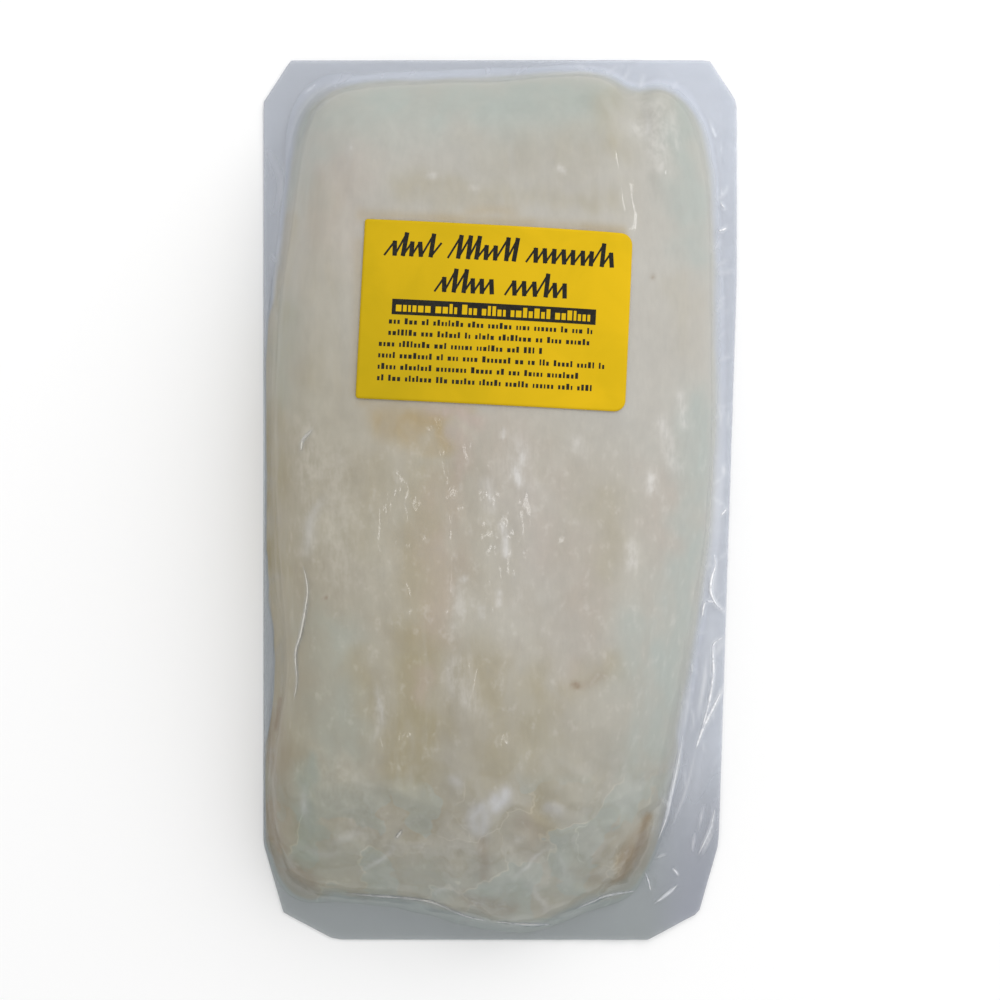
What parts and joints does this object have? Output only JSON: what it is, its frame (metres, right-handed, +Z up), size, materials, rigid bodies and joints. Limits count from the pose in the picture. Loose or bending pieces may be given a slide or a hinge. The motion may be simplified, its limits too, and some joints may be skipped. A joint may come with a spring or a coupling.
{
  "type": "vacuum-packed cod loin",
  "caption": "Thick desalted cod loin lying flat in a clear, clinging vacuum bag with a flat film margin all round and a small yellow paper label on top.",
  "frame": {"origin": "middle of the pack's flat underside, on the surface that it lies on", "axes": "+Z up, out of the labelled side; +Y along the pack, towards the loin's head end; +X across it, towards the loin's thin side"},
  "size_m": [0.113, 0.21, 0.0325],
  "materials": {
    "film": "clear glossy vacuum film over pale raw fish",
    "fish": "wet raw cod, cream to grey-green, seen through film",
    "paper": "satin yellow label paper",
    "ink": "matt black print"
  },
  "bodies": {
    "root": {"vacuum_bag": "film", "label": "paper"}
  },
  "joints": []
}
